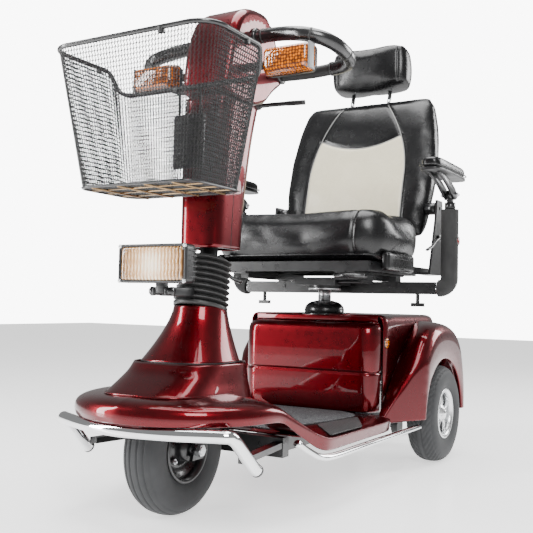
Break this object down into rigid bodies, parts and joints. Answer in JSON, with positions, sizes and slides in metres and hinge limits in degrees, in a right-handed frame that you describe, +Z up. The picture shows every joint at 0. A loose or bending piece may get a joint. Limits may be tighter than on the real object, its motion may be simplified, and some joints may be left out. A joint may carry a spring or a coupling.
{
  "type": "mobility scooter",
  "caption": "Seated mobility scooter with a raked tiller, wire basket, loop handles, swivel seat, flip-up armrests and a single front wheel.",
  "frame": {"origin": "on the ground under the middle of the scooter's bounding box", "axes": "+Z up, -Y towards the front wheel, +X towards the rider's left"},
  "size_m": [0.704, 1.2396, 1.2158],
  "materials": {
    "frame_black": "black powder coat",
    "body_red": "deep metallic red with a clear coat",
    "chrome": "polished",
    "steel": "machined",
    "silver_rim": "cast and painted silver",
    "tyre_grey": "grey, ribbed tread",
    "rubber_black": "moulded",
    "mat_grey": "speckled floor mat",
    "plastic_black": "fine grain",
    "leather": "black and cream upholstery",
    "amber": "faceted amber lens",
    "red_lens": "red lens",
    "lamp_lens": "fluted clear lens",
    "battery_case": "moulded case"
  },
  "bodies": {
    "chassis": {"main_frame": "frame_black", "steering_bearings": "steel", "floor_pan": "body_red", "floor_mats": "mat_grey", "lower_cowl": "body_red", "upper_cowl": "body_red", "battery_cover": "body_red", "rear_shroud": "body_red", "seat_post_boot": "plastic_black", "batteries": "battery_case", "controller": "silver_rim", "transaxle": "silver_rim", "front_bumper": "chrome", "side_rails": "chrome", "rear_bumper": "chrome", "tail_lights": "red_lens", "side_reflectors": "amber"},
    "steering": {"front_fork": "frame_black", "front_axle": "steel", "tiller_boot": "rubber_black", "headlight_bracket": "frame_black"},
    "headlight": {"headlight_housing": "plastic_black", "headlight_lens": "lamp_lens"},
    "front_wheel": {"front_tyre": "tyre_grey", "front_rim": "frame_black"},
    "tiller": {"tiller_column": "frame_black", "tiller_cover": "body_red", "tiller_head": "body_red", "dash_panel": "plastic_black", "handlebars": "rubber_black", "turn_signals": "plastic_black", "turn_signal_lenses": "amber", "basket_bracket": "frame_black"},
    "basket": {"basket": "frame_black"},
    "throttle_lever": {"throttle_lever": "plastic_black"},
    "speed_knob": {"speed_knob": "plastic_black"},
    "ignition_key": {"ignition_key": "steel"},
    "horn_button": {"horn_button": "plastic_black"},
    "light_button": {"light_button": "plastic_black"},
    "indicator_switch": {"indicator_switch": "plastic_black"},
    "tilt_lever": {"tilt_lever": "plastic_black"},
    "seat_post": {"seat_post": "steel"},
    "seat_base": {"seat_swivel_plate": "frame_black"},
    "swivel_lever": {"swivel_lever": "frame_black"},
    "seat_frame": {"seat_pan": "frame_black", "seat_cushion": "leather"},
    "slide_lever": {"slide_lever": "frame_black"},
    "backrest": {"backrest": "leather"},
    "recline_lever": {"recline_lever": "plastic_black"},
    "headrest": {"headrest": "leather"},
    "arm_left": {"armrest_tube_left": "frame_black"},
    "arm_right": {"armrest_tube_right": "frame_black"},
    "armrest_left": {"armrest_left": "leather"},
    "armrest_right": {"armrest_right": "leather"},
    "rear_wheel_left": {"rear_tyre_left": "tyre_grey", "rear_rim_left": "silver_rim"},
    "rear_wheel_right": {"rear_tyre_right": "tyre_grey", "rear_rim_right": "silver_rim"},
    "anti_tip_wheels": {"anti_tip_wheels": "rubber_black"},
    "freewheel_lever": {"freewheel_lever": "rubber_black"}
  },
  "joints": [
    {"name": "steering", "type": "hinge", "parent": "chassis", "child": "steering", "pos_m": [0, -0.355, 0.412], "axis": [0, 0.225, 0.9744], "range_deg": [-35, 35]},
    {"name": "front_wheel_spin", "type": "hinge", "parent": "steering", "child": "front_wheel", "pos_m": [0, -0.43, 0.13], "axis": [1, 0, 0], "continuous": true},
    {"name": "headlight_tilt", "type": "hinge", "parent": "steering", "child": "headlight", "pos_m": [0, -0.485, 0.438], "axis": [1, 0, 0], "range_deg": [-15, 15]},
    {"name": "tiller_tilt", "type": "hinge", "parent": "steering", "child": "tiller", "pos_m": [0, -0.3451, 0.45487], "axis": [1, 0, 0], "range_deg": [-25, 5], "deforming": ["tiller_boot"]},
    {"name": "basket_lift", "type": "slide", "parent": "tiller", "child": "basket", "axis": [0, 0, 1], "range_m": [0, 0.1]},
    {"name": "throttle", "type": "hinge", "parent": "tiller", "child": "throttle_lever", "pos_m": [0, -0.152, 0.875], "axis": [0, 0, 1], "range_deg": [-12, 12], "stiffness_Nm_per_rad": 0.5},
    {"name": "speed_knob_turn", "type": "hinge", "parent": "tiller", "child": "speed_knob", "pos_m": [0, -0.14606, 0.9821], "axis": [0, 0.8833, 0.4688], "range_deg": [0, 270]},
    {"name": "key_turn", "type": "hinge", "parent": "tiller", "child": "ignition_key", "pos_m": [-0.036, -0.16856, 1.0245], "axis": [0, 0.8833, 0.4688], "range_deg": [0, 90]},
    {"name": "horn_press", "type": "slide", "parent": "tiller", "child": "horn_button", "axis": [0, -0.8833, -0.4688], "range_m": [0, 0.0015], "stiffness_N_per_m": 300},
    {"name": "light_press", "type": "slide", "parent": "tiller", "child": "light_button", "axis": [0, -0.8833, -0.4688], "range_m": [0, 0.0015], "stiffness_N_per_m": 300},
    {"name": "indicator_slide", "type": "slide", "parent": "tiller", "child": "indicator_switch", "axis": [1, 0, 0], "range_m": [-0.004, 0.004]},
    {"name": "tilt_lever_lift", "type": "hinge", "parent": "tiller", "child": "tilt_lever", "pos_m": [0, -0.303, 0.498], "axis": [1, 0, 0], "range_deg": [0, 20], "stiffness_Nm_per_rad": 1, "springref_deg": -5.73},
    {"name": "seat_height", "type": "slide", "parent": "chassis", "child": "seat_post", "axis": [0, 0, 1], "range_m": [0, 0.05]},
    {"name": "seat_swivel", "type": "hinge", "parent": "seat_post", "child": "seat_base", "pos_m": [0, 0.226, 0.464], "axis": [0, 0, 1], "range_deg": [0, 90]},
    {"name": "swivel_lever_press", "type": "hinge", "parent": "seat_base", "child": "swivel_lever", "pos_m": [0.1, 0.181, 0.478], "axis": [1, 0, 0], "range_deg": [0, 15], "stiffness_Nm_per_rad": 2},
    {"name": "seat_slide", "type": "slide", "parent": "seat_base", "child": "seat_frame", "axis": [0, 1, 0], "range_m": [0, 0.1]},
    {"name": "slide_lever_pull", "type": "hinge", "parent": "seat_frame", "child": "slide_lever", "pos_m": [0.193, 0.065, 0.489], "axis": [0, 0, 1], "range_deg": [0, 12], "stiffness_Nm_per_rad": 2},
    {"name": "backrest_recline", "type": "hinge", "parent": "seat_frame", "child": "backrest", "pos_m": [0, 0.415, 0.69], "axis": [1, 0, 0], "range_deg": [-15, 60]},
    {"name": "recline_lever_lift", "type": "hinge", "parent": "seat_frame", "child": "recline_lever", "pos_m": [0.26, 0.404, 0.608], "axis": [-1, 0, 0], "range_deg": [0, 20], "stiffness_Nm_per_rad": 1.5, "springref_deg": -8.59},
    {"name": "headrest_height", "type": "slide", "parent": "backrest", "child": "headrest", "axis": [0, 0.2588, 0.9659], "range_m": [0, 0.06]},
    {"name": "arm_width_left", "type": "slide", "parent": "seat_frame", "child": "arm_left", "axis": [1, 0, 0], "range_m": [0, 0.04]},
    {"name": "arm_width_right", "type": "slide", "parent": "seat_frame", "child": "arm_right", "axis": [-1, 0, 0], "range_m": [0, 0.04]},
    {"name": "armrest_flip_left", "type": "hinge", "parent": "arm_left", "child": "armrest_left", "pos_m": [0.32, 0.305, 0.71], "axis": [1, 0, 0], "range_deg": [-95, 0]},
    {"name": "armrest_flip_right", "type": "hinge", "parent": "arm_right", "child": "armrest_right", "pos_m": [-0.32, 0.305, 0.71], "axis": [1, 0, 0], "range_deg": [-95, 0]},
    {"name": "rear_wheel_left_spin", "type": "hinge", "parent": "chassis", "child": "rear_wheel_left", "pos_m": [0.246, 0.414, 0.13], "axis": [1, 0, 0], "continuous": true},
    {"name": "rear_wheel_right_spin", "type": "hinge", "parent": "chassis", "child": "rear_wheel_right", "pos_m": [-0.246, 0.414, 0.13], "axis": [1, 0, 0], "continuous": true},
    {"name": "anti_tip_wheels_spin", "type": "hinge", "parent": "chassis", "child": "anti_tip_wheels", "pos_m": [0, 0.584, 0.056], "axis": [1, 0, 0], "continuous": true},
    {"name": "freewheel_lift", "type": "hinge", "parent": "chassis", "child": "freewheel_lever", "pos_m": [0.136, 0.446, 0.176], "axis": [1, 0, 0], "range_deg": [0, 30]}
  ]
}
